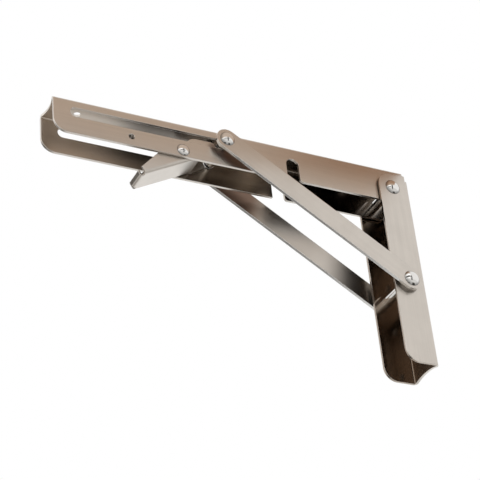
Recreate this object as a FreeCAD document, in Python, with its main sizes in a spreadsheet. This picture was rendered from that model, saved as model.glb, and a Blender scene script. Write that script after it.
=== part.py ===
import FreeCAD, Part
import math
import os
import re

import Sketcher
from FreeCAD import Placement, Rotation, Vector

# Folding bracket for a drop leaf table, in millimetres.
# The origin lies on the wall, at mid width and at the height of the fold axis.
# +X points away from the wall along the open arm, +Z is up and +Y is the right side for someone facing the wall.

SIZES = [
    ("gauge", 2.0, "sheet of both channels"),
    ("bend", 3.0, "outer radius of the channels' bends"),
    ("wall_width", 34.2, "wall channel, over its sides"),
    ("wall_depth", 27.7, "wall channel, from the wall to the front of its sides"),
    ("wall_rise", 13.0, "top of the wall channel over the fold axis"),
    ("wall_drop", 158.6, "foot of the wall channel under the fold axis"),
    ("wall_head_round", 11.5, "top front corner of the wall channel"),
    ("wall_foot_round", 11.0, "bottom front corner of the wall channel"),
    ("web_relief", 5.0, "how far the wall web stops below the top of its sides"),
    ("web_dip", 2.0, "hollow of the channels' web ends"),
    ("wall_screw_first", 25.0, "first wall screw hole under the fold axis"),
    ("wall_screw_pitch", 40.0, "spacing of the wall screw holes"),
    ("screw_bore", 5.5, "screw holes"),
    ("pivot_inset", 15.5, "fold axis from the wall"),
    ("pivot_dia", 8.0, "corner pin and foot pin"),
    ("fit", 0.05, "radial clearance of a pin in its hole"),
    ("head_dia", 13.0, "domed heads of the corner and foot pins"),
    ("head_rise", 3.0, "height of those domes"),
    ("end_play", 0.1, "axial play beside heads and washers"),
    ("washer_dia", 16.0, "washers on the corner and foot pins"),
    ("side_gap", 0.9, "gap between the arm and the wall channel on each side"),
    ("arm_end_gap", 0.8, "gap between the arm's end and the wall web"),
    ("arm_rise", 19.2, "top of the arm over the fold axis"),
    ("arm_height", 31.2, "depth of the arm's sides"),
    ("arm_nose", 11.0, "bottom corner of the arm's tip"),
    ("arm_screw_first", 36.0, "first arm screw hole from the wall"),
    ("arm_screw_last", 24.0, "last arm screw hole from the tip"),
    ("strut_drop", 88.5, "foot pin under the fold axis"),
    ("lock_reach", 147.9, "slide pin from the fold axis while the arm is open"),
    ("slot_rise", 7.3, "slot's middle over the fold axis"),
    ("slide_dia", 8.0, "slide pin"),
    ("slot_play", 0.3, "radial clearance of the slide pin in its slots"),
    ("slot_spare", 2.6, "slot beyond the folded slide pin"),
    ("tip_land", 13.04, "arm beyond the end of its slot"),
    ("notch_play", 1.5, "clearance of the foot pin in the arm's notch"),
    ("notch_over", 4.0, "notch above the foot pin"),
    ("notch_round", 2.5, "mouth corner of the notch on the wall side"),
    ("strut_gap", 2.6, "gap between a strut and the wall channel"),
    ("strut_width", 17.5, "width of the struts"),
    ("strut_gauge", 2.5, "thickness of the struts"),
    ("spigot_dia", 6.0, "riveted ends in the struts' upper holes"),
    ("spigot_head_dia", 12.0, "domed heads of those ends"),
    ("slide_gap", 0.3, "gap between the slide pin and the struts"),
    ("lever_reach", 34.0, "lever pin from the open slide pin"),
    ("lever_drop", 5.9, "lever pin under the fold axis"),
    ("lever_pin_dia", 6.0, "lever pin"),
    ("lever_head_dia", 10.5, "domed heads of the lever pin"),
    ("lever_head_rise", 2.2, "height of those domes"),
    ("lever_gauge", 1.5, "sheet of the lever"),
    ("lever_bend", 2.5, "outer radius of the lever's bends"),
    ("lever_gap", 0.3, "gap between the lever and the arm on each side"),
    ("lever_slope", 28.7, "slope of the thumb plate in degrees"),
    ("plate_drop", 8.6, "outer face of the thumb plate from the lever pin"),
    ("plate_reach", 42.4, "lip of the thumb plate, along it from the lever pin"),
    ("plate_back", 14.0, "inner end of the thumb plate, along it from the lever pin"),
    ("lip_rise", 5.2, "lip at the tip of the thumb plate"),
    ("lip_width", 16.0, "width of the lip"),
    ("lip_notch", 2.6, "end of the lever's sides short of the lip"),
    ("brow_reach", 7.8, "upper corner of the lever's sides, out from the lever pin"),
    ("brow_rise", 7.8, "upper edge of the lever's sides over the lever pin"),
    ("ramp_foot", 1.9, "foot of the catch's ramp, in from the lever pin"),
    ("ramp_run", 11.5, "length of the ramp"),
    ("ramp_round", 6.0, "rounded top of the ramp"),
    ("catch_over", 1.7, "top of the catch over the slide pin's middle"),
    ("catch_gap", 0.4, "slide pin's relief over the catch"),
    ("catch_side", 0.2, "slide pin's relief beside the catch"),
    ("catch_round", 4.0, "rounded end of the catch"),
    ("throat_play", 1.9, "catch from the slide pin"),
    ("toe_back", 4.2, "end of the lever, out from the slide pin's middle"),
    ("toe_height", 1.2, "toe of a catch, under the slide pin"),
    ("anchor_reach", 41.6, "spring anchor hole, out from the lever pin"),
    ("anchor_rise", 2.1, "spring anchor hole over the lever pin"),
    ("anchor_bore", 5.0, "spring anchor hole"),
    ("wire_dia", 1.2, "spring wire"),
    ("coil_gap", 0.8, "spring coil from the lever pin"),
    ("coil_pitch", 2.6, "pitch of the spring coil"),
    ("coil_turns", 3.0, "whole turns of the spring"),
    ("leg_reach", 24.0, "spring leg on the thumb plate"),
    ("leg_gap", 0.15, "spring leg from the thumb plate"),
    ("hook_round", 2.0, "bend of the spring's hooked leg"),
]

DERIVED = [
    ("wall_half", "=wall_width / 2"),
    ("arm_half", "=wall_half - gauge - side_gap"),
    ("arm_back", "=pivot_inset - gauge - arm_end_gap"),
    ("arm_low", "=arm_rise - arm_height"),
    ("strut_rise", "=strut_drop + slot_rise"),
    ("strut_length", "=hypot(lock_reach; strut_rise)"),
    ("strut_inner", "=wall_half + strut_gap"),
    ("strut_outer", "=strut_inner + strut_gauge"),
    ("fold_reach", "=strut_drop + sqrt(strut_length ^ 2 - slot_rise ^ 2)"),
    ("arm_tip", "=fold_reach + slot_spare + slide_dia / 2 + slot_play + tip_land"),
    ("arm_screw_pitch", "=(arm_tip - arm_screw_last - arm_screw_first + pivot_inset) / 2"),
    ("slide_half", "=strut_inner - slide_gap"),
    ("lever_half", "=arm_half - gauge - lever_gap"),
    ("lever_x", "=lock_reach + lever_reach"),
    ("catch_top", "=slot_rise + lever_drop + catch_over"),
    ("throat", "=slide_dia / 2 + throat_play"),
    ("coil_radius", "=lever_pin_dia / 2 + coil_gap + wire_dia / 2"),
]

ALIASES = [row[0] for row in SIZES] + [row[0] for row in DERIVED]
WORDS = re.compile(r"\b(" + "|".join(ALIASES) + r")\b")

doc = FreeCAD.newDocument("drop_leaf_bracket")
sheet = doc.addObject("Spreadsheet::Sheet", "Sizes")
for row, (alias, number, note) in enumerate(SIZES, 1):
    sheet.set("A%d" % row, note)
    sheet.set("B%d" % row, str(number))
    sheet.setAlias("B%d" % row, alias)
for row, (alias, formula) in enumerate(DERIVED, len(SIZES) + 1):
    sheet.set("A%d" % row, alias.replace("_", " "))
    sheet.set("B%d" % row, formula)
    sheet.setAlias("B%d" % row, alias)
doc.recompute()

SUB_PARTS = []


def ref(text):
    """Expression with each size's name pointed at the sheet."""
    return WORDS.sub(r"Sizes.\1", text)


def num(text):
    """Number that an expression of sizes stands for."""
    result = sheet.evalExpression(ref(text))
    return float(getattr(result, "Value", result))


def place(thing, base, angle, axis):
    """Bind an object's placement to expressions of sizes."""
    turn = Rotation(axis, num(angle)) if angle else Rotation()
    thing.Placement = Placement(Vector(*[num(value) for value in base]), turn)
    for letter, value in zip("xyz", base):
        thing.setExpression("Placement.Base." + letter, ref(value))
    if angle:
        thing.setExpression("Placement.Rotation.Angle", ref(angle))


def make_body(label, base=("0", "0", "0"), angle=None, axis=Vector(0, -1, 0)):
    """Empty body that becomes one sub-part."""
    body = doc.addObject("PartDesign::Body", label)
    body.Label = label
    place(body, base, angle, axis)
    SUB_PARTS.append(body)
    return body


def make_sketch(body, name, role, turn=None, lift=None):
    """Sketch on one of the body's own origin planes, turned in that plane or lifted off it if asked."""
    sketch = body.newObject("Sketcher::SketchObject", body.Label + "_" + name)
    plane = [item for item in body.Origin.OriginFeatures if item.Role == role][0]
    sketch.AttachmentSupport = [(plane, "")]
    sketch.MapMode = "FlatFace"
    if turn:
        sketch.AttachmentOffset = Placement(Vector(), Rotation(Vector(0, 0, 1), num(turn)))
        sketch.setExpression("AttachmentOffset.Rotation.Angle", ref(turn))
    if lift:
        sketch.AttachmentOffset = Placement(Vector(0, 0, num(lift)), Rotation())
        sketch.setExpression("AttachmentOffset.Base.z", ref(lift))
    return sketch


def bind(sketch, kind, *where, size):
    """Add one dimension whose value is an expression of sizes."""
    index = sketch.addConstraint(Sketcher.Constraint(kind, *where, num(size)))
    sketch.setExpression("Constraints[%d]" % index, ref(size))


def pin_point(sketch, side, end, spot):
    """Fix one point of a sketch by its two coordinates."""
    bind(sketch, "DistanceX", -1, 1, side, end, size=spot[0])
    bind(sketch, "DistanceY", -1, 1, side, end, size=spot[1])


def arc_between(start, end, radius):
    """Arc that bulges to the right of its chord, or to the left if the radius is negative."""
    chord = end - start
    middle = (start + end) * 0.5
    left = Vector(-chord.y, chord.x, 0).normalize()
    size = abs(radius)
    sagitta = size - math.sqrt(max(size ** 2 - (chord.Length / 2) ** 2, 0.0))
    bulge = left * (-sagitta if radius > 0 else sagitta)
    return Part.Arc(start, middle + bulge, end)


def outline(sketch, corners, arcs=None):
    """Closed counter-clockwise line through corners; arcs gives some sides a radius, with a minus where hollow."""
    arcs = arcs or {}
    spots = [Vector(num(x), num(y), 0) for x, y in corners]
    ends = []
    for index, start in enumerate(spots):
        end = spots[(index + 1) % len(spots)]
        if index in arcs:
            hollow = arcs[index].startswith("-")
            size = arcs[index].lstrip("-")
            side = sketch.addGeometry(arc_between(start, end, -num(size) if hollow else num(size)), False)
            bind(sketch, "Radius", side, size=size)
        else:
            side = sketch.addGeometry(Part.LineSegment(start, end), False)
        swapped = sketch.getPoint(side, 1).distanceToPoint(start) > 1e-6
        ends.append((side, 2, 1) if swapped else (side, 1, 2))
    for index, (side, first, last) in enumerate(ends):
        after = ends[(index + 1) % len(ends)]
        sketch.addConstraint(Sketcher.Constraint("Coincident", side, last, after[0], after[1]))
        pin_point(sketch, side, first, corners[index])


def circle(sketch, spot, diameter):
    """Circle about a bound centre."""
    centre = Vector(num(spot[0]), num(spot[1]), 0)
    side = sketch.addGeometry(Part.Circle(centre, Vector(0, 0, 1), num(diameter) / 2), False)
    pin_point(sketch, side, 3, spot)
    bind(sketch, "Diameter", side, size=diameter)


def long_hole(sketch, first, second, width):
    """Round-ended outline between two bound centres."""
    start = Vector(num(first[0]), num(first[1]), 0)
    end = Vector(num(second[0]), num(second[1]), 0)
    radius = num(width) / 2
    along = (end - start).normalize()
    left = Vector(-along.y, along.x, 0) * radius
    tail = sketch.addGeometry(Part.Arc(start + left, start - along * radius, start - left), False)
    low = sketch.addGeometry(Part.LineSegment(start - left, end - left), False)
    nose = sketch.addGeometry(Part.Arc(end - left, end + along * radius, end + left), False)
    top = sketch.addGeometry(Part.LineSegment(end + left, start + left), False)
    for one, two in ((tail, low), (low, nose), (nose, top), (top, tail)):
        sketch.addConstraint(Sketcher.Constraint("Tangent", one, 2, two, 1))
    pin_point(sketch, tail, 3, first)
    pin_point(sketch, nose, 3, second)
    bind(sketch, "Diameter", tail, size=width)
    sketch.addConstraint(Sketcher.Constraint("Equal", tail, nose))


def feature(body, kind, name, sketch):
    """Sketched feature at the body's tip."""
    item = body.newObject("PartDesign::" + kind, body.Label + "_" + name)
    item.Profile = sketch
    sketch.Visibility = False
    body.Tip = item
    return item


def pad(body, name, sketch, length):
    """Pad that grows equally to both sides of its sketch."""
    item = feature(body, "Pad", name, sketch)
    item.SideType = "Symmetric"
    item.setExpression("Length", ref(length))
    doc.recompute()
    return item


def pocket(body, name, sketch, length=None):
    """Pocket to both sides of its sketch, right through unless a length is given."""
    before = body.Shape.Volume
    item = feature(body, "Pocket", name, sketch)
    item.SideType = "Symmetric"
    if length:
        item.setExpression("Length", ref(length))
    else:
        item.Type = "ThroughAll"
    doc.recompute()
    if not body.Shape.Volume < before - 1e-3:
        raise RuntimeError(item.Label + " cuts nothing")
    return item


def round_edges(body, name, radius, axis, spots):
    """Round the straight edges parallel to an axis that pass through the spots in the other two axes."""
    base = body.Tip
    others = [index for index in range(3) if index != axis]
    wanted = [[num(value) for value in spot] for spot in spots]
    names = []
    for number, edge in enumerate(base.Shape.Edges, 1):
        ends = [vertex.Point for vertex in edge.Vertexes]
        if edge.Curve.TypeId != "Part::GeomLine" or len(ends) < 2:
            continue
        for spot in wanted:
            if all(abs(end[others[k]] - spot[k]) < 1e-4 for end in ends for k in (0, 1)):
                names.append("Edge%d" % number)
    if not names:
        raise RuntimeError(name + " finds no edge on " + body.Label)
    item = body.newObject("PartDesign::Fillet", body.Label + "_" + name)
    item.Base = (base, names)
    item.setExpression("Radius", ref(radius))
    body.Tip = item
    doc.recompute()
    return item


def revolve(body, sketch):
    """Full turn of a half section about the body's Y axis."""
    item = feature(body, "Revolution", "turn", sketch)
    item.ReferenceAxis = (sketch, ["V_Axis"])
    item.Angle = 360
    doc.recompute()
    return item


def dome(diameter, rise):
    """Radius of a domed head from its diameter and height."""
    return "((%s) ^ 2 / 4 + (%s) ^ 2) / (2 * %s)" % (diameter, rise, rise)


def sides():
    """Name and sign of the bracket's right and left sides."""
    return (("right", "1"), ("left", "-1"))


# Wall channel: a folded sheet whose web lies on the wall

wall = make_body("wall_channel")
side_view = make_sketch(wall, "side", "XZ_Plane")
outline(
    side_view,
    [
        ("0", "-wall_drop"),
        ("wall_depth - wall_foot_round", "-wall_drop"),
        ("wall_depth", "wall_foot_round - wall_drop"),
        ("wall_depth", "wall_rise - wall_head_round"),
        ("wall_depth - wall_head_round", "wall_rise"),
        ("0", "wall_rise"),
    ],
    {1: "wall_foot_round", 3: "wall_head_round"},
)
pad(wall, "blank", side_view, "wall_width")
round_edges(wall, "bends", "bend", 2, [("0", "wall_half"), ("0", "-wall_half")])

hollow = make_sketch(wall, "hollow", "XY_Plane")
outline(
    hollow,
    [
        ("bend", "gauge - wall_half"),
        ("wall_depth + gauge", "gauge - wall_half"),
        ("wall_depth + gauge", "wall_half - gauge"),
        ("bend", "wall_half - gauge"),
        ("gauge", "wall_half - bend"),
        ("gauge", "bend - wall_half"),
    ],
    {3: "bend - gauge", 5: "bend - gauge"},
)
pocket(wall, "channel", hollow)

relief = make_sketch(wall, "relief", "XZ_Plane")
outline(
    relief,
    [
        ("-bend", "wall_rise - web_relief"),
        ("bend", "wall_rise - web_relief"),
        ("bend", "wall_rise + bend"),
        ("-bend", "wall_rise + bend"),
    ],
)
pocket(wall, "web_top", relief)

web_face = make_sketch(wall, "web", "YZ_Plane")
outline(
    web_face,
    [
        ("bend - wall_half", "-wall_drop - web_dip"),
        ("wall_half - bend", "-wall_drop - web_dip"),
        ("wall_half - bend", "-wall_drop"),
        ("bend - wall_half", "-wall_drop"),
    ],
    {2: dome("wall_width - 2 * bend", "web_dip")},
)
for index in range(4):
    circle(web_face, ("0", "-wall_screw_first - %d * wall_screw_pitch" % index), "screw_bore")
pocket(wall, "web_cuts", web_face)

pivots = make_sketch(wall, "pivots", "XZ_Plane")
circle(pivots, ("pivot_inset", "0"), "pivot_dia + 2 * fit")
circle(pivots, ("pivot_inset", "-strut_drop"), "pivot_dia + 2 * fit")
pocket(wall, "pivot_holes", pivots)

# Arm channel: a folded sheet whose web lies under the table, built about the fold axis

arm = make_body("arm_channel", ("pivot_inset", "0", "0"))
side_view = make_sketch(arm, "side", "XZ_Plane")
outline(
    side_view,
    [
        ("-sqrt(arm_back ^ 2 - arm_low ^ 2)", "arm_low"),
        ("arm_tip - arm_nose", "arm_low"),
        ("arm_tip", "arm_low + arm_nose"),
        ("arm_tip", "arm_rise"),
        ("-arm_back", "arm_rise"),
        ("-arm_back", "0"),
    ],
    {1: "arm_nose", 5: "arm_back"},
)
pad(arm, "blank", side_view, "2 * arm_half")
round_edges(arm, "bends", "bend", 0, [("arm_half", "arm_rise"), ("-arm_half", "arm_rise")])

hollow = make_sketch(arm, "hollow", "YZ_Plane")
outline(
    hollow,
    [
        ("gauge - arm_half", "arm_low - gauge"),
        ("arm_half - gauge", "arm_low - gauge"),
        ("arm_half - gauge", "arm_rise - bend"),
        ("arm_half - bend", "arm_rise - gauge"),
        ("bend - arm_half", "arm_rise - gauge"),
        ("gauge - arm_half", "arm_rise - bend"),
    ],
    {2: "bend - gauge", 4: "bend - gauge"},
)
pocket(arm, "channel", hollow)

cuts = make_sketch(arm, "cuts", "XZ_Plane")
long_hole(
    cuts,
    ("lock_reach", "slot_rise"),
    ("fold_reach + slot_spare", "slot_rise"),
    "slide_dia + 2 * slot_play",
)
long_hole(
    cuts,
    ("strut_drop", "arm_low - pivot_dia - 2 * notch_play"),
    ("strut_drop", "notch_over - notch_play"),
    "pivot_dia + 2 * notch_play",
)
circle(cuts, ("0", "0"), "pivot_dia + 2 * fit")
circle(cuts, ("lever_x", "-lever_drop"), "lever_pin_dia + 2 * fit")
pocket(arm, "side_cuts", cuts)
anchor = make_sketch(arm, "anchor", "XZ_Plane", None, "gauge / 2 - arm_half")
circle(anchor, ("lever_x + anchor_reach", "anchor_rise - lever_drop"), "anchor_bore")
pocket(arm, "anchor_hole", anchor, "2 * gauge")
round_edges(
    arm,
    "notch_mouth",
    "notch_round",
    1,
    [("strut_drop - pivot_dia / 2 - notch_play", "arm_low")],
)

web_face = make_sketch(arm, "web", "XY_Plane")
outline(
    web_face,
    [
        ("arm_tip", "bend - arm_half"),
        ("arm_tip + web_dip", "bend - arm_half"),
        ("arm_tip + web_dip", "arm_half - bend"),
        ("arm_tip", "arm_half - bend"),
    ],
    {3: dome("2 * arm_half - 2 * bend", "web_dip")},
)
for index in range(3):
    circle(web_face, ("arm_screw_first - pivot_inset + %d * arm_screw_pitch" % index, "0"), "screw_bore")
pocket(arm, "web_cuts", web_face)

# Struts: flat bars from the foot pin up to the slide pin

for side, sign in sides():
    strut = make_body(
        "strut_" + side,
        ("pivot_inset", sign + " * (strut_inner + strut_outer) / 2", "-strut_drop"),
        "atan2(strut_rise; lock_reach)",
    )
    bar = make_sketch(strut, "bar", "XZ_Plane")
    long_hole(bar, ("0", "0"), ("strut_length", "0"), "strut_width")
    circle(bar, ("0", "0"), "pivot_dia + 2 * fit")
    circle(bar, ("strut_length", "0"), "spigot_dia + 2 * fit")
    pad(strut, "plate", bar, "strut_gauge")

# Pins with a domed head on each end, turned about their own axes


def headed_pin(label, base, diameter, half, head, rise):
    """Through pin: a shank between two domed heads whose undersides lie half a length from the middle."""
    body = make_body(label, base)
    section = make_sketch(body, "section", "XY_Plane")
    outline(
        section,
        [
            ("0", "-(%s) - %s" % (half, rise)),
            ("%s / 2" % head, "-(%s)" % half),
            ("%s / 2" % diameter, "-(%s)" % half),
            ("%s / 2" % diameter, half),
            ("%s / 2" % head, half),
            ("0", "%s + %s" % (half, rise)),
        ],
        {0: dome(head, rise), 4: dome(head, rise)},
    )
    revolve(body, section)


headed_pin("corner_pin", ("pivot_inset", "0", "0"), "pivot_dia", "wall_half + end_play", "head_dia", "head_rise")
headed_pin(
    "foot_pin",
    ("pivot_inset", "0", "-strut_drop"),
    "pivot_dia",
    "strut_outer + end_play",
    "head_dia",
    "head_rise",
)
headed_pin(
    "lever_pin",
    ("pivot_inset + lever_x", "0", "-lever_drop"),
    "lever_pin_dia",
    "arm_half + end_play",
    "lever_head_dia",
    "lever_head_rise",
)

# Washers that keep the arm and the struts off the wall channel

for label, drop, inner, outer in (
    ("corner_washer_", "0", "arm_half", "wall_half - gauge"),
    ("foot_washer_", "strut_drop", "wall_half", "strut_inner"),
):
    for side, sign in sides():
        middle = "%s * (%s + %s) / 2" % (sign, inner, outer)
        washer = make_body(label + side, ("pivot_inset", middle, "-" + drop))
        ring = make_sketch(washer, "ring", "XZ_Plane")
        circle(ring, ("0", "0"), "washer_dia")
        circle(ring, ("0", "0"), "pivot_dia + 2 * fit")
        pad(washer, "disc", ring, "%s - (%s) - end_play" % (outer, inner))

# Slide pin: it runs in the arm's slots, with a groove over each plate of the lever

slide = make_body("slide_pin", ("pivot_inset + lock_reach", "0", "slot_rise"))
rod = make_sketch(slide, "rod", "XZ_Plane")
circle(rod, ("0", "0"), "slide_dia")
pad(slide, "shank", rod, "2 * slide_half")
groove = make_sketch(slide, "groove", "YZ_Plane")
for sign in ("", "-"):
    near = sign + "(lever_half - lever_gauge - catch_side)"
    far = sign + "(lever_half + catch_side)"
    first, second = (near, far) if not sign else (far, near)
    outline(
        groove,
        [
            (first, "-slide_dia"),
            (second, "-slide_dia"),
            (second, "catch_over + catch_gap"),
            (first, "catch_over + catch_gap"),
        ],
    )
pocket(slide, "catch_grooves", groove)

# Riveted ends of the slide pin, outside the struts

for side, sign in sides():
    rivet = make_body("slide_rivet_" + side, ("pivot_inset + lock_reach", sign + " * strut_inner", "slot_rise"))
    section = make_sketch(rivet, "section", "XY_Plane")
    seat = "strut_gauge + end_play"
    corners = [
        ("0", "0"),
        ("spigot_dia / 2", "0"),
        ("spigot_dia / 2", seat),
        ("spigot_head_dia / 2", seat),
        ("0", seat + " + head_rise"),
    ]
    arcs = {3: dome("spigot_head_dia", "head_rise")}
    if sign == "-1":
        corners = [(x, "-(%s)" % y) for x, y in [corners[0]] + corners[:0:-1]]
        arcs = {1: dome("spigot_head_dia", "head_rise")}
    outline(section, corners, arcs)
    revolve(rivet, section)

# Release lever: a folded sheet about the lever pin, with a catch on each side plate

COS = "cos(lever_slope * 1deg)"
SIN = "sin(lever_slope * 1deg)"
PIN_OVER = "(slot_rise + lever_drop)"

lever = make_body(
    "release_lever",
    ("pivot_inset + lever_x", "0", "-lever_drop"),
    "lever_slope",
    Vector(0, 1, 0),
)
toe = "toe_back - lever_reach"
toe_top = PIN_OVER + " - sqrt(throat ^ 2 - toe_back ^ 2)"
plate_root = ("-plate_back * %s - plate_drop * %s" % (COS, SIN), "plate_back * %s - plate_drop * %s" % (SIN, COS))
ramp_start = ("-ramp_foot", "brow_rise")
side_view = make_sketch(lever, "side", "XZ_Plane", "lever_slope")
outline(
    side_view,
    [
        plate_root,
        ("plate_reach * %s - plate_drop * %s" % (COS, SIN), "-plate_reach * %s - plate_drop * %s" % (SIN, COS)),
        (
            "plate_reach * %s - (plate_drop - lip_rise) * %s" % (COS, SIN),
            "-plate_reach * %s - (plate_drop - lip_rise) * %s" % (SIN, COS),
        ),
        ("brow_reach", "brow_rise"),
        ramp_start,
    ],
)
pad(lever, "blank", side_view, "2 * lever_half")
corners = make_sketch(lever, "corners", "XY_Plane")
for side, sign in sides():
    inner = sign + " * lip_width / 2"
    outer = sign + " * (lever_half + lever_gauge)"
    first, second = (inner, outer) if sign == "1" else (outer, inner)
    outline(
        corners,
        [
            ("plate_reach - lip_notch", first),
            ("plate_reach + lever_gauge", first),
            ("plate_reach + lever_gauge", second),
            ("plate_reach - lip_notch", second),
        ],
    )
pocket(lever, "lip_corners", corners)
round_edges(
    lever,
    "bends",
    "lever_bend",
    0,
    [("lever_half", "-plate_drop"), ("-lever_half", "-plate_drop")],
)
round_edges(lever, "lip_bend", "lever_bend", 1, [("plate_reach", "-plate_drop")])
catches = make_sketch(lever, "catches", "XZ_Plane", "lever_slope")
outline(
    catches,
    [
        (toe, toe_top + " - toe_height"),
        plate_root,
        ramp_start,
        ("-ramp_foot - ramp_run / 2", "brow_rise + (catch_top - brow_rise) * 0.8"),
        ("-ramp_foot - ramp_run", "catch_top"),
        ("throat + catch_round - lever_reach", "catch_top"),
        ("sqrt(throat ^ 2 - (catch_over / 2) ^ 2) - lever_reach", PIN_OVER + " - catch_over / 2"),
        (toe, toe_top),
    ],
    {3: "ramp_round * 2", 5: "catch_round", 6: "-throat"},
)
pad(lever, "catch_blank", catches, "2 * lever_half")
hollow = make_sketch(lever, "hollow", "XZ_Plane")
outline(
    hollow,
    [
        ("-plate_back", "lever_gauge - plate_drop"),
        ("plate_reach - lever_gauge", "lever_gauge - plate_drop"),
        ("plate_reach - lever_gauge", "plate_reach"),
        ("-2 * lever_reach", "plate_reach"),
        ("-2 * lever_reach", "-lever_gauge - plate_drop"),
        ("-plate_back", "-lever_gauge - plate_drop"),
    ],
)
pocket(lever, "inside", hollow, "2 * lever_half - 2 * lever_gauge")
bore = make_sketch(lever, "bore", "XZ_Plane")
circle(bore, ("0", "0"), "lever_pin_dia + 2 * fit")
pocket(lever, "pin_hole", bore)

# Lever spring: a coil round the lever pin, one leg on the thumb plate and one hooked into the arm's right side


def spring_shape():
    """Round wire swept along leg, coil, leg and hook, in the lever pin's own frame."""
    radius = num("coil_radius")
    pitch = num("coil_pitch")
    wire = num("wire_dia")
    room = num("plate_drop - lever_gauge - leg_gap") - wire / 2
    steep = math.radians(num("lever_slope")) + math.asin((room - radius) / num("leg_reach"))
    anchor = (num("anchor_reach"), num("anchor_rise"))
    shallow = math.asin(radius / math.hypot(*anchor)) - math.atan2(anchor[1], anchor[0])
    halves = int(round(2 * num("coil_turns")))
    first = math.pi / 2 + steep
    last = 3 * math.pi / 2 + shallow + halves * math.pi
    low = -halves * pitch / 4

    def at(turn, level):
        return Vector(radius * math.cos(turn), level, -radius * math.sin(turn))

    def along(turn):
        return Vector(-math.sin(turn), 0, -math.cos(turn))

    coil = []
    for half in range(halves):
        turn = first + half * math.pi
        near = at(turn, low + half * pitch / 2)
        far = at(turn + math.pi, low + (half + 1) * pitch / 2)
        top = (near + far) * 0.5 + along(turn) * math.hypot(radius, pitch / 4)
        coil.append(Part.Arc(near, top, far).toShape())
    turn = first + halves * math.pi
    coil.append(Part.Arc(at(turn, -low), at((turn + last) / 2, -low), at(last, -low)).toShape())
    start = at(first, low)
    end = at(last, -low)
    into = along(first)
    out = along(last)
    foot = start - into * num("leg_reach")
    bend = num("hook_round")
    reach = math.sqrt(anchor[0] ** 2 + anchor[1] ** 2 - radius ** 2)
    corner = end + out * reach
    cut = bend
    before = corner - out * cut
    after = corner + Vector(0, cut, 0)
    inner = (Vector(0, 1, 0) - out).normalize()
    centre = corner + inner * (bend * math.sqrt(2))
    middle = centre - inner * bend
    tip = Vector(corner.x, num("arm_half"), corner.z)
    path = Part.Wire([
        Part.makeLine(foot, start),
        *coil,
        Part.makeLine(end, before),
        Part.Arc(before, middle, after).toShape(),
        Part.makeLine(after, tip),
    ])
    ring = Part.Face(Part.Wire(Part.makeCircle(wire / 2, foot, into)))
    return path.makePipe(ring), path.Length


spring = doc.addObject("Part::Feature", "lever_spring")
spring.Label = "lever_spring"
spring.Shape, spring_run = spring_shape()
place(spring, ("pivot_inset + lever_x", "0", "-lever_drop"), None, None)
SUB_PARTS.append(spring)
doc.recompute()
expected = spring_run * math.pi * num("wire_dia") ** 2 / 4
if abs(spring.Shape.Volume - expected) > 0.02 * expected:
    raise RuntimeError("lever_spring has the wrong volume")

# Every object is checked before any file is written

for item in doc.Objects:
    if "Invalid" in item.State or "Error" in item.State:
        raise RuntimeError(item.Label + " failed: " + ", ".join(item.State))
for item in SUB_PARTS:
    if item.Shape.isNull() or not item.Shape.isValid() or len(item.Shape.Solids) != 1:
        raise RuntimeError(item.Label + " is not one valid solid")

os.makedirs("parts", exist_ok=True)
for item in SUB_PARTS:
    item.Shape.exportStep("parts/%s.step" % item.Label)
    print("%-22s %9.1f mm3" % (item.Label, item.Shape.Volume))
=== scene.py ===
import math
from collections import namedtuple

import bpy
import numpy as np
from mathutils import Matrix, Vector


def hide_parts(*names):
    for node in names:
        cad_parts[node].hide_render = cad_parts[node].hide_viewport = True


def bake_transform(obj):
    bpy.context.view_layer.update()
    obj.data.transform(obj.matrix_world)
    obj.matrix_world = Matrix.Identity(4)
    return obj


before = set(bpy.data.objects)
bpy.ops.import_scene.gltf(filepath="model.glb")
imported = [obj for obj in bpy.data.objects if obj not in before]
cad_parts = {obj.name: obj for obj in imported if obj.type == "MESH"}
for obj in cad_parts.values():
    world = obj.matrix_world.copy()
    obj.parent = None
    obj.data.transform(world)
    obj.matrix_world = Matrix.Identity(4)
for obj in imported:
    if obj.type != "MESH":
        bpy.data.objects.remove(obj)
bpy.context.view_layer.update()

# Sizes of the bracket that the finishes follow, in metres

GAUGE = 0.002
ARM_HALF = 0.0142
ARM_RISE = 0.0192
WALL_HALF = 0.0171
STRUT_INNER = 0.0197
CORNER_PIN = (0.0155, 0.0, 0.0)
FOOT_PIN = (0.0155, 0.0, -0.0885)
SLIDE_PIN = (0.1634, 0.0, 0.0073)
LEVER_PIN = (0.1974, 0.0, -0.0059)
WALL_HOLES = (0.025, 0.065, 0.105, 0.145)
PIVOT_HEAD = 0.0065
LEVER_HEAD = 0.00525
SLIDE_HEAD = 0.006
STRUT_LEAN = math.atan2(0.0958, 0.1479)
LEVER_SLOPE = math.radians(28.7)

# Steel tones, linear

SATIN = (0.60, 0.55, 0.495)
# The four tones below are painted shade: the arm's inside, the wall's inside, a near-black for the arm's root and umber
# for the struts' upper ends
ARM_SHADE_TONE = (0.53, 0.47, 0.41)
SHADE = (0.35, 0.285, 0.23)
ROOT_SHADE = (0.06, 0.048, 0.04)
UPPER_SHADE = (0.32, 0.23, 0.19)
BRIGHT = (0.82, 0.80, 0.77)
SHEARED = (0.96, 0.95, 0.93)
DULL = (0.46, 0.43, 0.40)
WIRE = (0.34, 0.33, 0.32)

# Marks on satin sheet: how far each one changes the tone and the roughness

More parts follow.
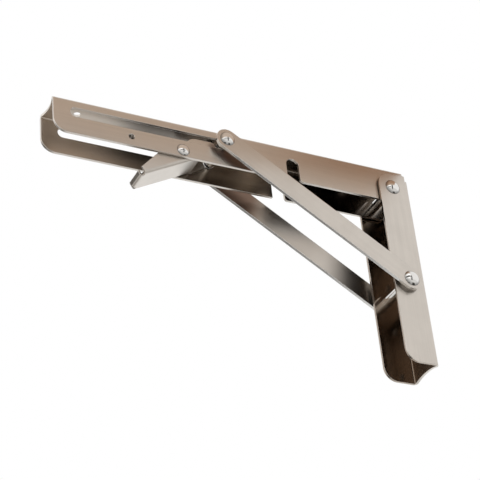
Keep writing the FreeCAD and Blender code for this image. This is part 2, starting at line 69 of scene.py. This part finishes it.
FINE_STRETCH = (24.0, 3600.0, 3600.0)
BROAD_STRETCH = (7.0, 520.0, 520.0)
GRAIN_RANGE = (0.32, 0.68)
GRAIN_TONE = 0.04
GRAIN_ROUGH = 0.05
INSIDE_TONE = 0.03
SMUDGE_SCALE = 55.0
SMUDGE_RANGE = (0.36, 0.68)
SMUDGE_SHARE = 0.16
SMUDGE_TONE = 0.8
SMUDGE_ROUGH = 0.03
SATIN_ROUGH = 0.28
EDGE_RANGE = (0.995, 0.80)
EDGE_SHARE = 0.75
EDGE_POLISH = 0.08
CUT_FACING = (0.8, 0.4)
CUT_SHARE = 0.9
CUT_POLISH = 0.12
SHEET_ROUND = 0.0005
SHEET_BUMP = 0.02
BUMP_DEPTH = 0.00005

# Marks on pins, washers and wire

RING_PITCH = 0.0005
RING_TONES = (0.84, 1.06)
RING_ROUGH = 0.08
PIN_SMUDGE_SHARE = 0.22
PIN_SMUDGE_TONE = 0.7
PIN_SMUDGE_ROUGH = 0.06
PIN_ROUGH = 0.05
WASHER_ROUGH = 0.30
# Painted shade around a pin head's rim, where it meets the sheet
RIM_SHADE_RANGE = (0.66, 0.98)
RIM_SHADE_SHARE = 0.8
RIM_SHADE_TONE = 0.25
PIN_ROUND = 0.0003
PIN_BUMP = 0.08
MOTTLE_SCALE = 2600.0
MOTTLE_RANGE = (0.3, 0.7)
MOTTLE_TONES = (0.7, 1.25)
MOTTLE_ROUGH = 0.14
WIRE_SMUDGE_SHARE = 0.3
WIRE_SMUDGE_TONE = 0.6
WIRE_ROUGH = 0.28

# Stretches of local x, in metres, over which the painted shade and painted light inside the arm and the struts come in

ARM_TIP = (0.22, 0.26)
ARM_LEVER_OUT = (0.240, 0.200)
ARM_LEVER_IN = (0.14, 0.18)
ARM_ROOT_OUT = (0.090, 0.070)
ARM_ROOT_IN = (-0.015, 0.025)
ARM_ROOT_DEPTH = (0.001, 0.004)
ARM_DULL = (0.16, 0.20)
STRUT_TOP = (0.118, 0.134)
STRUT_FOOT = (0.062, 0.026)
# Painted light at the arm's tip, and the share of the inside tone left where shade is painted behind the lever and at
# the struts' feet
TIP_LIGHT = 1.12
SHADE_DIM = 0.4
ARM_GLOSS = 0.10
WALL_GLOSS = 0.14

# The inside of a folded sheet: its limits, its tone, which is painted shade, its gloss, the stretch where that ends,
# and its shading, which paints light and shade along it
Inside = namedtuple("Inside", "half ceiling tone gloss dull shading", defaults=(0.0, None, None))


def rgba(tone, share=1.0):
    """A tone times a share, as an opaque colour."""
    return (*(c * share for c in tone), 1.0)


class Wires:
    """Places nodes in one tree and joins them, so that a finish reads from top to bottom."""

    def __init__(self, tree):
        self.tree = tree

    def node(self, kind, **settings):
        made = self.tree.nodes.new(kind)
        for key, value in settings.items():
            setattr(made, key, value)
        return made

    def feed(self, socket, value):
        if isinstance(value, bpy.types.NodeSocket):
            self.tree.links.new(value, socket)
        else:
            socket.default_value = value

    def math(self, operation, a, b=None):
        made = self.node("ShaderNodeMath", operation=operation)
        self.feed(made.inputs[0], a)
        if b is not None:
            self.feed(made.inputs[1], b)
        return made.outputs[0]

    def vector(self, operation, a, b=None):
        made = self.node("ShaderNodeVectorMath", operation=operation)
        self.feed(made.inputs[0], a)
        if b is not None:
            self.feed(made.inputs[1], b)
        return made.outputs

    def parts(self, point):
        made = self.node("ShaderNodeSeparateXYZ")
        self.feed(made.inputs[0], point)
        return made.outputs

    def noise(self, where, scale, detail, roughness=0.5):
        made = self.node("ShaderNodeTexNoise")
        self.feed(made.inputs["Vector"], where)
        made.inputs["Scale"].default_value = scale
        made.inputs["Detail"].default_value = detail
        made.inputs["Roughness"].default_value = roughness
        return made.outputs["Fac"]

    def between(self, value, low, high, start=0.0, stop=1.0):
        """Smooth step of a value from low to high, as a number from start to stop."""
        made = self.node("ShaderNodeMapRange", interpolation_type="SMOOTHSTEP")
        self.feed(made.inputs["Value"], value)
        self.feed(made.inputs["From Min"], low)
        self.feed(made.inputs["From Max"], high)
        made.inputs["To Min"].default_value = start
        made.inputs["To Max"].default_value = stop
        return made.outputs["Result"]

    def blend(self, share, first, second):
        made = self.node("ShaderNodeMix", data_type="RGBA", blend_type="MIX")
        self.feed(made.inputs[0], share)
        self.feed(made.inputs[6], first)
        self.feed(made.inputs[7], second)
        return made.outputs[2]

    def more(self, value, mask, amount):
        """A value plus an amount where the mask is 1."""
        return self.math("ADD", value, self.math("MULTIPLY", mask, amount))

    def less(self, value, mask, amount):
        """A value minus an amount where the mask is 1."""
        return self.math("SUBTRACT", value, self.math("MULTIPLY", mask, amount))

    def bump(self, strength, height, normal):
        made = self.node("ShaderNodeBump")
        made.inputs["Strength"].default_value = strength
        made.inputs["Distance"].default_value = BUMP_DEPTH
        self.feed(made.inputs["Height"], height)
        self.feed(made.inputs["Normal"], normal)
        return made.outputs[0]


FLOAT, POINT = "NodeSocketFloat", "NodeSocketVector"


def effect(name, takes, gives):
    """Starts a shared effect: a shader node group with named sockets. Returns its wires, inputs and outputs."""
    tree = bpy.data.node_groups.new(name, "ShaderNodeTree")
    for label, kind in takes:
        tree.interface.new_socket(label, in_out="INPUT", socket_type=kind)
    for label, kind in gives:
        tree.interface.new_socket(label, in_out="OUTPUT", socket_type=kind)
    w = Wires(tree)
    return tree, w, w.node("NodeGroupInput").outputs, w.node("NodeGroupOutput").inputs


def brushed_grain():
    """Brush lines along local x: noise stretched about 150 times along the stroke in a fine band, 75 in a broad one.

    Tone is the fine band weighted over the broad one, from 0 to 1; Height is the fine band alone."""
    tree, w, takes, gives = effect(
        "brushed_grain", [("Along", POINT)], [("Tone", FLOAT), ("Height", FLOAT), ("Broad", FLOAT)]
    )
    fine = w.noise(w.vector("MULTIPLY", takes["Along"], FINE_STRETCH)[0], 1.0, 3.0, 0.6)
    broad = w.noise(w.vector("MULTIPLY", takes["Along"], BROAD_STRETCH)[0], 1.0, 2.0)
    w.feed(gives["Tone"], w.more(w.math("MULTIPLY", fine, 0.6), broad, 0.4))
    w.feed(gives["Height"], fine)
    w.feed(gives["Broad"], broad)
    return tree


def worn_edges():
    """Edges that handling has rounded and polished: the normal is averaged over a small radius,
    and Edge grows from 0 to 1 as that normal leaves the face's own."""
    tree, w, takes, gives = effect("worn_edges", [("Radius", FLOAT)], [("Edge", FLOAT), ("Normal", POINT)])
    rounded = w.node("ShaderNodeBevel", samples=6)
    w.feed(rounded.inputs["Radius"], takes["Radius"])
    own = w.node("ShaderNodeNewGeometry").outputs["Normal"]
    share = w.vector("DOT_PRODUCT", rounded.outputs[0], own)["Value"]
    w.feed(gives["Edge"], w.between(share, *EDGE_RANGE))
    w.feed(gives["Normal"], rounded.outputs[0])
    return tree


def handling():
    """Smudges that fingers leave: soft noise at thumb size, from 0 to 1."""
    tree, w, takes, gives = effect("handling", [("Place", POINT)], [("Smudge", FLOAT)])
    w.feed(gives["Smudge"], w.between(w.noise(takes["Place"], SMUDGE_SCALE, 3.0, 0.55), *SMUDGE_RANGE))
    return tree


def channel_inside():
    """The inside of a folded channel: Inside is 1 where a point lies within Half of the middle
    and below Ceiling, and 0 elsewhere; Depth is the distance below Ceiling."""
    tree, w, takes, gives = effect(
        "channel_inside",
        [("Place", POINT), ("Half", FLOAT), ("Ceiling", FLOAT)],
        [("Inside", FLOAT), ("Depth", FLOAT)],
    )
    place = w.parts(takes["Place"])
    within = w.math("LESS_THAN", w.math("ABSOLUTE", place["Y"]), takes["Half"])
    under = w.math("LESS_THAN", place["Z"], takes["Ceiling"])
    w.feed(gives["Inside"], w.math("MULTIPLY", within, under))
    w.feed(gives["Depth"], w.math("SUBTRACT", takes["Ceiling"], place["Z"]))
    return tree


def turned_rings():
    """Marks of a turned or headed end: rings about local y, as noise of the distance from that axis."""
    tree, w, takes, gives = effect(
        "turned_rings", [("Place", POINT), ("Pitch", FLOAT)], [("Ring", FLOAT), ("Radius", FLOAT)]
    )
    flat = w.vector("MULTIPLY", takes["Place"], (1.0, 0.0, 1.0))[0]
    radius = w.vector("LENGTH", flat)["Value"]
    row = w.node("ShaderNodeCombineXYZ")
    w.feed(row.inputs["X"], w.math("DIVIDE", radius, takes["Pitch"]))
    w.feed(gives["Ring"], w.noise(row.outputs[0], 1.0, 2.0))
    w.feed(gives["Radius"], radius)
    return tree


GRAIN = brushed_grain()
EDGES = worn_edges()
MARKS = handling()
ROOM = channel_inside()
RINGS = turned_rings()


def finish_of(name, metal=1.0):
    """Starts a finish: a material with one Principled BSDF. Returns the material, its wires and the shader's inputs."""
    made = bpy.data.materials.new(name)
    made.use_nodes = True
    made.node_tree.nodes.clear()
    w = Wires(made.node_tree)
    shader = w.node("ShaderNodeBsdfPrincipled")
    shader.inputs["Metallic"].default_value = metal
    w.feed(w.node("ShaderNodeOutputMaterial").inputs["Surface"], shader.outputs[0])
    return made, w, shader.inputs


def placed(w, group, **values):
    """Puts a shared effect in a finish and feeds its inputs. Returns its outputs."""
    made = w.node("ShaderNodeGroup", node_tree=group)
    for label, value in values.items():
        w.feed(made.inputs[label], value)
    return made.outputs


def seen_from(w, middle, turn=(0.0, 0.0, 0.0)):
    """Object coordinates moved to a piece's middle and turned, so that local x runs along its brush lines."""
    made = w.node("ShaderNodeMapping", vector_type="TEXTURE")
    made.inputs["Location"].default_value = middle
    made.inputs["Rotation"].default_value = turn
    w.feed(made.inputs["Vector"], w.node("ShaderNodeTexCoord").outputs["Object"])
    return made.outputs[0]


def arm_shading(w, x, depth, inside_shade):
    """The arm's inside along local x: painted light at the tip, painted shade behind the lever, and near-black painted
    shade on its sides by the wall.

    Each stretch is a smooth step from no shade to full shade."""
    # Painted light towards the arm's open tip
    inside_shade = w.blend(w.between(x, *ARM_TIP), inside_shade, rgba(ARM_SHADE_TONE, TIP_LIGHT))
    # Painted shade behind the lever
    lever_shade = w.math("MULTIPLY", w.between(x, *ARM_LEVER_OUT), w.between(x, *ARM_LEVER_IN))
    inside_shade = w.blend(lever_shade, inside_shade, rgba(ARM_SHADE_TONE, SHADE_DIM))
    # Near-black painted shade on the arm's sides in the corner by the wall
    root_shade = w.math("MULTIPLY", w.between(x, *ARM_ROOT_OUT), w.between(x, *ARM_ROOT_IN))
    root_shade = w.math("MULTIPLY", root_shade, w.between(depth, *ARM_ROOT_DEPTH))
    return w.blend(root_shade, inside_shade, rgba(ROOT_SHADE))


def strut_shading(w, x, _, inside_shade):
    """The inner face of a strut along local x, whatever its depth: umber painted shade at its upper end and painted
    shade at its foot.
    """
    inside_shade = w.blend(w.between(x, *STRUT_TOP), inside_shade, rgba(UPPER_SHADE))
    return w.blend(w.between(x, *STRUT_FOOT), inside_shade, rgba(SATIN, SHADE_DIM))


def brushed_sheet(name, middle, turn, inside=None, cut=False):
    """Satin sheet: brush lines along local x, smudges, polished edges and, where one is given, an inside of its own in
    painted shade.

    With cut, faces that are turned away from y are bright, as sheared metal is."""
    made, w, shader = finish_of(name)
    along = seen_from(w, middle, turn)
    grain = placed(w, GRAIN, Along=along)
    smudge = placed(w, MARKS, Place=along)["Smudge"]
    edges = placed(w, EDGES, Radius=SHEET_ROUND)
    colour = w.blend(
        w.between(grain["Tone"], *GRAIN_RANGE), rgba(SATIN, 1.0 - GRAIN_TONE), rgba(SATIN, 1.0 + GRAIN_TONE)
    )
    colour = w.blend(w.math("MULTIPLY", smudge, SMUDGE_SHARE), colour, rgba(SATIN, SMUDGE_TONE))
    rough = w.math("ADD", w.math("MULTIPLY", grain["Broad"], GRAIN_ROUGH), SATIN_ROUGH)
    rough = w.more(rough, smudge, SMUDGE_ROUGH)
    if inside is not None:
        room = placed(w, ROOM, Place=along, Half=inside.half, Ceiling=inside.ceiling)
        # The inside's tone and its shading are painted shade and painted light on the same steel
        inside_shade = w.blend(
            grain["Broad"], rgba(inside.tone, 1.0 - INSIDE_TONE), rgba(inside.tone, 1.0 + INSIDE_TONE)
        )
        gloss = inside.gloss
        if inside.shading:
            inside_shade = inside.shading(w, w.parts(along)["X"], room["Depth"], inside_shade)
        if inside.dull:
            gloss = w.between(w.parts(along)["X"], *inside.dull, inside.gloss, 0.0)
        colour = w.blend(room["Inside"], colour, inside_shade)
        if inside.gloss:
            rough = w.less(rough, room["Inside"], gloss)
    if cut:
        facing = w.parts(w.node("ShaderNodeTexCoord").outputs["Normal"])["Y"]
        sheared = w.between(w.math("ABSOLUTE", facing), *CUT_FACING)
        colour = w.blend(w.math("MULTIPLY", sheared, CUT_SHARE), colour, rgba(SHEARED))
        rough = w.less(rough, sheared, CUT_POLISH)
    colour = w.blend(w.math("MULTIPLY", edges["Edge"], EDGE_SHARE), colour, rgba(BRIGHT))
    w.feed(shader["Base Color"], colour)
    w.feed(shader["Roughness"], w.less(rough, edges["Edge"], EDGE_POLISH))
    w.feed(shader["Normal"], w.bump(SHEET_BUMP, grain["Height"], edges["Normal"]))
    return made


def polished_pin(name, middle, head=None, tone=BRIGHT, rough=PIN_ROUGH):
    """Headed pin: bright rings about its axis, smudges and, with a head, painted shade around its rim where it meets
    the sheet.
    """
    made, w, shader = finish_of(name)
    place = seen_from(w, middle)
    rings = placed(w, RINGS, Place=place, Pitch=RING_PITCH)
    smudge = placed(w, MARKS, Place=place)["Smudge"]
    edges = placed(w, EDGES, Radius=PIN_ROUND)
    colour = w.blend(rings["Ring"], *(rgba(tone, share) for share in RING_TONES))
    colour = w.blend(w.math("MULTIPLY", smudge, PIN_SMUDGE_SHARE), colour, rgba(tone, PIN_SMUDGE_TONE))
    # Painted shade around the head's rim
    if head is not None:
        rim_shade = w.between(rings["Radius"], *(head * share for share in RIM_SHADE_RANGE))
        colour = w.blend(w.math("MULTIPLY", rim_shade, RIM_SHADE_SHARE), colour, rgba(tone, RIM_SHADE_TONE))
    w.feed(shader["Base Color"], colour)
    rough = w.math("ADD", w.math("MULTIPLY", rings["Ring"], RING_ROUGH), rough)
    w.feed(shader["Roughness"], w.more(rough, smudge, PIN_SMUDGE_ROUGH))
    w.feed(shader["Normal"], w.bump(PIN_BUMP, rings["Ring"], edges["Normal"]))
    return made


def drawn_wire(name, middle):
    """Spring wire: dark drawn steel with fine mottling and smudges."""
    made, w, shader = finish_of(name)
    place = seen_from(w, middle)
    smudge = placed(w, MARKS, Place=place)["Smudge"]
    mottle = w.noise(place, MOTTLE_SCALE, 3.0)
    colour = w.blend(w.between(mottle, *MOTTLE_RANGE), *(rgba(WIRE, share) for share in MOTTLE_TONES))
    colour = w.blend(w.math("MULTIPLY", smudge, WIRE_SMUDGE_SHARE), colour, rgba(WIRE, WIRE_SMUDGE_TONE))
    w.feed(shader["Base Color"], colour)
    w.feed(shader["Roughness"], w.math("ADD", w.math("MULTIPLY", mottle, MOTTLE_ROUGH), WIRE_ROUGH))
    return made


# Insides reach a little past their faces, and the wall channel's painted inside shade takes in most of its front edge

SKIN = 0.0001
WALL_RIM = 0.0006
NO_CEILING = 1.0
ARM_INSIDE = Inside(ARM_HALF - GAUGE + SKIN, ARM_RISE - GAUGE + SKIN, ARM_SHADE_TONE, ARM_GLOSS, ARM_DULL, arm_shading)
WALL_INSIDE = Inside(WALL_HALF - WALL_RIM, SKIN - GAUGE, SHADE, WALL_GLOSS)
STRUT_INSIDE = Inside(STRUT_INNER + SKIN, NO_CEILING, SATIN, shading=strut_shading)

FINISHES = {
    "arm_channel": brushed_sheet("arm_satin_steel", CORNER_PIN, (0.0, 0.0, 0.0), ARM_INSIDE),
    "wall_channel": brushed_sheet("wall_satin_steel", (0.0, 0.0, 0.0), (0.0, -math.pi / 2, 0.0), WALL_INSIDE),
    "strut_right": brushed_sheet("strut_satin_steel", FOOT_PIN, (0.0, -STRUT_LEAN, 0.0), STRUT_INSIDE, cut=True),
    "release_lever": brushed_sheet("lever_satin_steel", LEVER_PIN, (0.0, LEVER_SLOPE, 0.0)),
    "corner_pin": polished_pin("corner_pin_polish", CORNER_PIN, PIVOT_HEAD),
    "foot_pin": polished_pin("foot_pin_polish", FOOT_PIN, PIVOT_HEAD),
    "lever_pin": polished_pin("lever_pin_polish", LEVER_PIN, LEVER_HEAD),
    "slide_pin": polished_pin("slide_pin_polish", SLIDE_PIN, SLIDE_HEAD),
    "corner_washer_right": polished_pin("corner_washer_steel", CORNER_PIN, tone=DULL, rough=WASHER_ROUGH),
    "foot_washer_right": polished_pin("foot_washer_steel", FOOT_PIN, tone=DULL, rough=WASHER_ROUGH),
    "lever_spring": drawn_wire("spring_wire", LEVER_PIN),
}
FINISHES["strut_left"] = FINISHES["strut_right"]
FINISHES["slide_rivet_right"] = FINISHES["slide_rivet_left"] = FINISHES["slide_pin"]
FINISHES["corner_washer_left"] = FINISHES["corner_washer_right"]
FINISHES["foot_washer_left"] = FINISHES["foot_washer_right"]

for node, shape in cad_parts.items():
    shape.data.materials.clear()
    shape.data.materials.append(FINISHES[node])

# Lever spring, wound again as round wire in place of the part's own

WIRE_HALF = 0.0006
WIRE_SIDES = 14
COIL_RADIUS = 0.0044
COIL_PITCH = 0.0026
COIL_TURNS = 3.0
PRESS_LEG = 0.024
PLATE_ROOM = 0.00635
ANCHOR = (0.0416, 0.0021)
HOOK_ROUND = 0.002
# Points along the wire: press leg, coil, arc that ends it, anchor leg, hook, end of the hook
PRESS, COIL, ARC, REACH, HOOK, END = 6, 96, 15, 8, 8, 4


def run(start, stop, count):
    """Even steps from start to stop, without start itself."""
    return np.linspace(start, stop, count + 1)[1:]


def spring_line():
    """Middle line of the spring about the lever pin, and the coil angle at each point of it.

    A straight leg meets a helix of COIL_TURNS at a tangent, a flat arc ends the helix, and a second tangent leg
    runs to the anchor hole, where a quarter circle turns it along y, out to the arm's side. At coil angle t, a
    ahead along the tangent and s to the side, a point is (r cos t - a sin t, s, -r sin t - a cos t)."""
    lean = LEVER_SLOPE + math.asin((PLATE_ROOM - COIL_RADIUS) / PRESS_LEG)
    reach = math.sqrt(ANCHOR[0] ** 2 + ANCHOR[1] ** 2 - COIL_RADIUS ** 2)
    rise = math.atan2(COIL_RADIUS, reach) - math.atan2(ANCHOR[1], ANCHOR[0])
    first = math.pi / 2 + lean
    wound = first + 2 * math.pi * COIL_TURNS
    last = 3 * math.pi / 2 + rise + 2 * math.pi * COIL_TURNS
    level = COIL_TURNS * COIL_PITCH / 2
    hook = run(0.0, math.pi / 2, HOOK)
    turn = np.concatenate([
        np.full(PRESS, first), run(first, wound, COIL), run(wound, last, ARC), np.full(REACH + HOOK + END, last),
    ])
    ahead = np.concatenate([
        np.linspace(-PRESS_LEG, 0.0, PRESS), np.zeros(COIL + ARC), run(0.0, reach - HOOK_ROUND, REACH),
        reach - HOOK_ROUND * (1.0 - np.sin(hook)), np.full(END, reach),
    ])
    side = np.concatenate([
        np.full(PRESS, -level), run(-level, level, COIL), np.full(ARC + REACH, level),
        level + HOOK_ROUND * (1.0 - np.cos(hook)), run(level + HOOK_ROUND, ARM_HALF, END),
    ])
    line = np.stack([
        COIL_RADIUS * np.cos(turn) - ahead * np.sin(turn),
        side,
        -COIL_RADIUS * np.sin(turn) - ahead * np.cos(turn),
    ], axis=1)
    return line + np.array(LEVER_PIN), turn


def shown(name, points, faces):
    """A mesh of points and faces, put in the scene as an object at the origin."""
    mesh = bpy.data.meshes.new(name)
    mesh.from_pydata(points.tolist(), [], faces)
    made = bpy.data.objects.new(name, mesh)
    bpy.context.scene.collection.objects.link(made)
    return made


def wound_spring(name):
    """Round wire: a circle of WIRE_HALF carried along spring_line, in the plane of the coil's radius and its normal."""
    line, turn = spring_line()
    heading = np.gradient(line, axis=0)
    heading /= np.linalg.norm(heading, axis=1, keepdims=True)
    outward = np.stack([np.cos(turn), np.zeros_like(turn), -np.sin(turn)], axis=1)
    cross = np.cross(heading, outward)
    cross /= np.linalg.norm(cross, axis=1, keepdims=True)
    angle = np.linspace(0.0, 2 * math.pi, WIRE_SIDES, endpoint=False)[None, :, None]
    rings = line[:, None] + WIRE_HALF * (np.cos(angle) * outward[:, None] + np.sin(angle) * cross[:, None])
    index = np.arange(len(line) * WIRE_SIDES).reshape(-1, WIRE_SIDES)
    beside = np.roll(index, -1, axis=1)
    faces = np.stack([index[:-1], beside[:-1], beside[1:], index[1:]], axis=-1).reshape(-1, 4)
    ends = [index[0, ::-1].tolist(), index[-1].tolist()]
    made = shown(name, rings.reshape(-1, 3), faces.tolist() + ends)
    made.data.polygons.foreach_set("use_smooth", [True] * len(faces) + [False] * len(ends))
    return made


spring = wound_spring("wound_spring")
spring.data.materials.append(FINISHES["lever_spring"])
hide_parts("lever_spring")
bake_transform(spring)

# Studio: a pale floor far below, a white surround, soft lamps and cards that only reflections see

WHITE = (1.0, 1.0, 1.0)
GREY = (0.10, 0.09, 0.08)
DARK = (0.05, 0.045, 0.04)
FLOOR_SIDE = 80.0
HOLE_CARD = 0.0054
HOLE_DEPTH = 0.001
GLINT_WIDTH = 0.004
GLINT_AWAY = (0.0064, 0.0032)
UP, DOWN, LEFT, OUT = (0, 0, 1), (0, 0, -1), (0, -1, 0), (1, 0, 0)
ALONG_X, ALONG_Y = (1, 0, 0), (0, 1, 0)


def sheet_of(name, middle, toward, across, width, height):
    """A flat card: middle + u across + v up, with u and v from -1/2 to 1/2 of its width and height."""
    n = np.array(toward, float) / np.linalg.norm(toward)
    a = np.array(across, float)
    a = a - n * (a @ n)
    a /= np.linalg.norm(a)
    b = np.cross(n, a)
    u, v = np.meshgrid(np.linspace(-0.5, 0.5, 2), np.linspace(-0.5, 0.5, 2), indexing="ij")
    points = np.array(middle) + u.reshape(-1, 1) * width * a + v.reshape(-1, 1) * height * b
    made = shown(name, points, [(0, 2, 3, 1)])
    return made


def card(name, colour, middle, toward, across, width, height, fades=(), back=None):
    """A studio card that only reflections see: one tone, fades along an axis to others, or a second tone behind."""
    made = sheet_of(name, middle, toward, across, width, height)
    paint = bpy.data.materials.new(name)
    paint.use_nodes = True
    paint.node_tree.nodes.clear()
    w = Wires(paint.node_tree)
    tone = rgba(colour)
    for axis, start, stop, second in fades:
        place = w.parts(w.node("ShaderNodeTexCoord").outputs["Object"])
        tone = w.blend(w.between(place[axis], start, stop), tone, rgba(second))
    if back is not None:
        tone = w.blend(w.node("ShaderNodeNewGeometry").outputs["Backfacing"], tone, rgba(back))
    glow = w.node("ShaderNodeEmission")
    w.feed(glow.inputs["Color"], tone)
    w.feed(w.node("ShaderNodeOutputMaterial").inputs["Surface"], glow.outputs[0])
    made.data.materials.append(paint)
    made.visible_camera = made.visible_diffuse = made.visible_shadow = False
    made.visible_transmission = made.visible_volume_scatter = False


floor = sheet_of("floor", (0.15, 0.0, -1.35), UP, ALONG_X, FLOOR_SIDE, FLOOR_SIDE)
pale, w, shader = finish_of("floor_pale", 0.0)
shader["Base Color"].default_value = (0.86, 0.86, 0.85, 1.0)
shader["Roughness"].default_value = 0.9
floor.data.materials.append(pale)

card(
    "warm_card", (0.43, 0.27, 0.18), (0.207, 0.044, 0.03), DOWN, ALONG_X, 0.426, 0.058,
    [("Y", 0.034, 0.066, (0.62, 0.50, 0.40)), ("X", 0.04, 0.16, (0.64, 0.52, 0.43))],
)
card(
    "white_edge", WHITE, (0.195, 0.0146, 0.0348), LEFT, ALONG_X, 0.45, 0.0304,
    back=(0.30, 0.22, 0.16),
)
card("upper_flag", GREY, (0.2, 0.29, 0.05), DOWN, ALONG_X, 0.3, 0.22)
card("tall_flag", (0.03, 0.028, 0.026), (-0.05, 1.05, 0.2), LEFT, ALONG_X, 0.20, 1.0)
card("low_flag", GREY, (-0.5, 0.65, -0.75), UP, ALONG_X, 0.6, 0.7)
card("foot_flag", GREY, (0.65, 0.75, -0.85), UP, ALONG_X, 0.6, 0.5)
card("far_flag", (0.17, 0.16, 0.15), (0.50, -0.74, -0.66), (-0.38, 0.72, 0.6), ALONG_X, 0.40, 0.40)
card("lip_flag", DARK, (0.34, -0.115, -0.02), (-0.67, 0.74, 0), UP, 0.09, 0.10)

# Small cards keep the wall's screw holes dark in reflections, and two beside the pins draw a bright line along each

for drop in WALL_HOLES:
    card("hole_flag_%d" % round(drop * 1000), DARK, (HOLE_DEPTH, 0.0, -drop), OUT, ALONG_Y, HOLE_CARD, HOLE_CARD)
for name, pin, length in (("glint_88", FOOT_PIN, 0.029), ("glint_0", CORNER_PIN, 0.024)):
    beside = (pin[0] + GLINT_AWAY[0], 0.0, pin[2] + GLINT_AWAY[1])
    card(name, WHITE, beside, (-0.591, 0, -0.807), ALONG_Y, length, GLINT_WIDTH, back=DARK)


def soft_lamp(name, place, aim, width, height, watts, tint=WHITE):
    """A rectangular lamp turned to a point, which reflections see and the floor doesn't."""
    lamp = bpy.data.lights.new(name, "AREA")
    lamp.shape = "RECTANGLE"
    lamp.size, lamp.size_y = width, height
    lamp.energy = watts
    lamp.color = tint
    made = bpy.data.objects.new(name, lamp)
    bpy.context.scene.collection.objects.link(made)
    made.location = place
    made.rotation_euler = (Vector(aim) - Vector(place)).to_track_quat("-Z", "Y").to_euler()
    made.visible_diffuse = False


MIDDLE = (0.14, 0.0, -0.06)
soft_lamp("far_side_lamp", (-0.9, -1.3, -0.7), MIDDLE, 1.6, 1.6, 3.0, (0.82, 0.91, 1.0))
soft_lamp("near_lamp", (0.9, 1.2, 0.9), MIDDLE, 1.6, 1.6, 5.0)
soft_lamp("end_lamp", (1.5, -0.3, 0.5), MIDDLE, 1.6, 1.8, 3.0)

# Surround: full white where it is seen, directly or in the steel, and a little less as light

SEEN, LIGHT = 1.0, 0.9
world = bpy.data.worlds.new("surround")
bpy.context.scene.world = world
world.use_nodes = True
world.node_tree.nodes.clear()
w = Wires(world.node_tree)
path = w.node("ShaderNodeLightPath").outputs
mirrored = w.math("MAXIMUM", path["Is Glossy Ray"], path["Is Transmission Ray"])
back = w.node("ShaderNodeBackground")
back.inputs["Color"].default_value = rgba(WHITE)
strength = w.math("MULTIPLY", w.math("MAXIMUM", path["Is Camera Ray"], mirrored), SEEN - LIGHT)
w.feed(back.inputs["Strength"], w.math("ADD", strength, LIGHT))
w.feed(w.node("ShaderNodeOutputWorld").inputs["Surface"], back.outputs[0])

# Camera, fitted to the angle of the photograph

CAMERA_PLACE = (0.626, 0.8557, -0.7009)
CAMERA_TURN = (123.018, 4.901, 154.050)
lens = bpy.data.cameras.new("camera")
lens.lens = 117.4
lens.sensor_width = 36.0
eye = bpy.data.objects.new("camera", lens)
bpy.context.scene.collection.objects.link(eye)
eye.location = CAMERA_PLACE
eye.rotation_euler = tuple(math.radians(a) for a in CAMERA_TURN)
bpy.context.scene.camera = eye
bpy.context.scene.view_settings.view_transform = "Standard"
